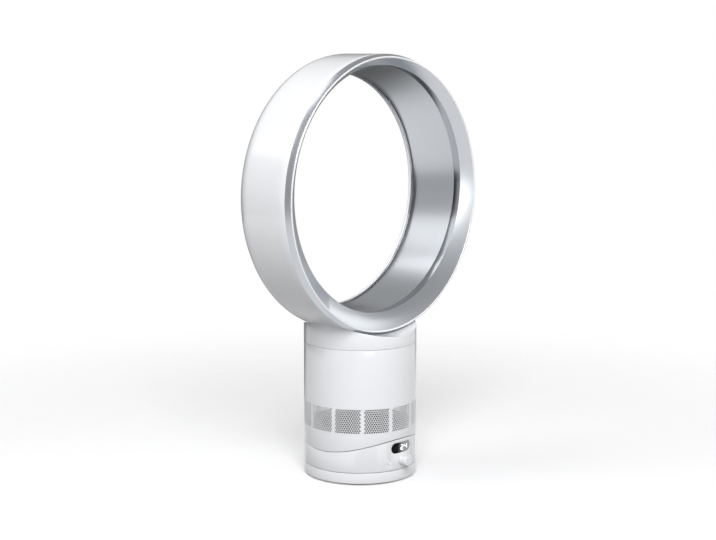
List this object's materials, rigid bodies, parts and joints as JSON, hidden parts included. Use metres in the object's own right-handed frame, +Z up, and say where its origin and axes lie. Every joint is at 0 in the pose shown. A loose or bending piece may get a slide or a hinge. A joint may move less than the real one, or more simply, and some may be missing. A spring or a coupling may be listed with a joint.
{
  "type": "bladeless fan",
  "caption": "Free-standing bladeless desk fan: tall ring nozzle on a round base with air inlet mesh, dial and display window; the base turns and tilts.",
  "frame": {"origin": "centre of the foot's underside, on the surface it stands on", "axes": "+Z up through the base axis, -Y is the front that the ring and the controls face, +X to the right seen from the front"},
  "size_m": [0.356, 0.158, 0.546],
  "materials": {
    "white_shell": "satin-gloss white ABS",
    "silver_coat": "silver metallic coat on plastic",
    "dark_inner": "black moulded plastic",
    "grey_inner": "grey moulded plastic",
    "mesh_grey": "perforated white plastic, seen grey through its holes",
    "acetal": "natural acetal",
    "rubber": "soft black rubber",
    "foam": "open-cell acoustic foam",
    "steel": "plain zinc-plated steel",
    "winding": "wound copper",
    "board": "green circuit board",
    "lens": "smoked glossy window"
  },
  "bodies": {
    "foot": {"foot_pad": "rubber", "foot_plate": "white_shell", "power_socket": "dark_inner", "pivot_post": "grey_inner", "pivot_screws": "steel", "sun_gear": "acetal", "bearing_ring": "acetal", "pivot_retainer": "steel"},
    "turning_base": {"swivel_deck": "grey_inner", "control_housing": "white_shell", "deck_screws": "steel", "oscillation_motor": "steel", "motor_bracket": "grey_inner", "control_board": "board", "display_module": "dark_inner", "display_window": "lens", "dial_encoder": "dark_inner", "tact_switches": "dark_inner", "tilt_saddle": "white_shell", "saddle_screws": "steel"},
    "pinion": {"drive_pinion": "acetal"},
    "dial": {"speed_dial": "white_shell"},
    "power_key": {"power_button": "white_shell"},
    "oscillation_key": {"oscillation_button": "white_shell"},
    "tilting_body": {"tilt_runners": "acetal", "runner_screws": "steel", "tilt_cradle": "white_shell", "main_casing": "white_shell", "inlet_mesh": "mesh_grey", "floor_plate": "grey_inner", "intake_foam": "foam", "impeller_housing": "dark_inner", "housing_seal": "rubber", "housing_screws": "steel", "diffuser": "dark_inner", "motor_bucket": "dark_inner", "motor_bearings": "steel", "motor_mounts": "rubber", "motor_stator": "winding", "bearing_cap": "dark_inner", "drive_board": "board", "tail_cone": "dark_inner", "outlet_foam": "foam", "neck_collar": "grey_inner", "collar_screws": "steel", "neck_o_ring": "rubber"},
    "rotor": {"impeller": "grey_inner", "rotor_magnet": "steel", "motor_shaft": "steel"},
    "nozzle": {"outer_casing": "white_shell", "inner_casing": "silver_coat", "nose_rim": "silver_coat", "slot_spacers": "silver_coat", "joint_gasket": "rubber"}
  },
  "joints": [
    {"name": "base_turn", "type": "hinge", "parent": "foot", "child": "turning_base", "pos_m": [0, 0, 0.016], "axis": [0, 0, 1], "range_deg": [-45, 45]},
    {"name": "pinion_spin", "type": "hinge", "parent": "turning_base", "child": "pinion", "pos_m": [0.03, 0, 0.008], "axis": [0, 0, 1], "range_deg": [-182, 182]},
    {"name": "dial_turn", "type": "hinge", "parent": "turning_base", "child": "dial", "pos_m": [0, -0.08, 0.0272], "axis": [0, -1, 0], "range_deg": [-135, 135]},
    {"name": "power_press", "type": "slide", "parent": "turning_base", "child": "power_key", "axis": [0, 1, 0], "range_m": [0, 0.0012], "stiffness_N_per_m": 900, "springref_m": -0.0006},
    {"name": "oscillation_press", "type": "slide", "parent": "turning_base", "child": "oscillation_key", "axis": [0, 1, 0], "range_m": [0, 0.0012], "stiffness_N_per_m": 900, "springref_m": -0.0006},
    {"name": "body_tilt", "type": "hinge", "parent": "turning_base", "child": "tilting_body", "pos_m": [0, 0, 0.2215], "axis": [1, 0, 0], "range_deg": [-10, 10]},
    {"name": "fan_spin", "type": "hinge", "parent": "tilting_body", "child": "rotor", "pos_m": [0, 0, 0.12], "axis": [0, 0, 1], "continuous": true},
    {"name": "ring_twist", "type": "hinge", "parent": "tilting_body", "child": "nozzle", "pos_m": [0, 0, 0.18], "axis": [0, 0, 1], "range_deg": [0, 16]}
  ],
  "couplings": [
    {"joint": "pinion_spin", "follows": "base_turn", "ratio": 4}
  ]
}
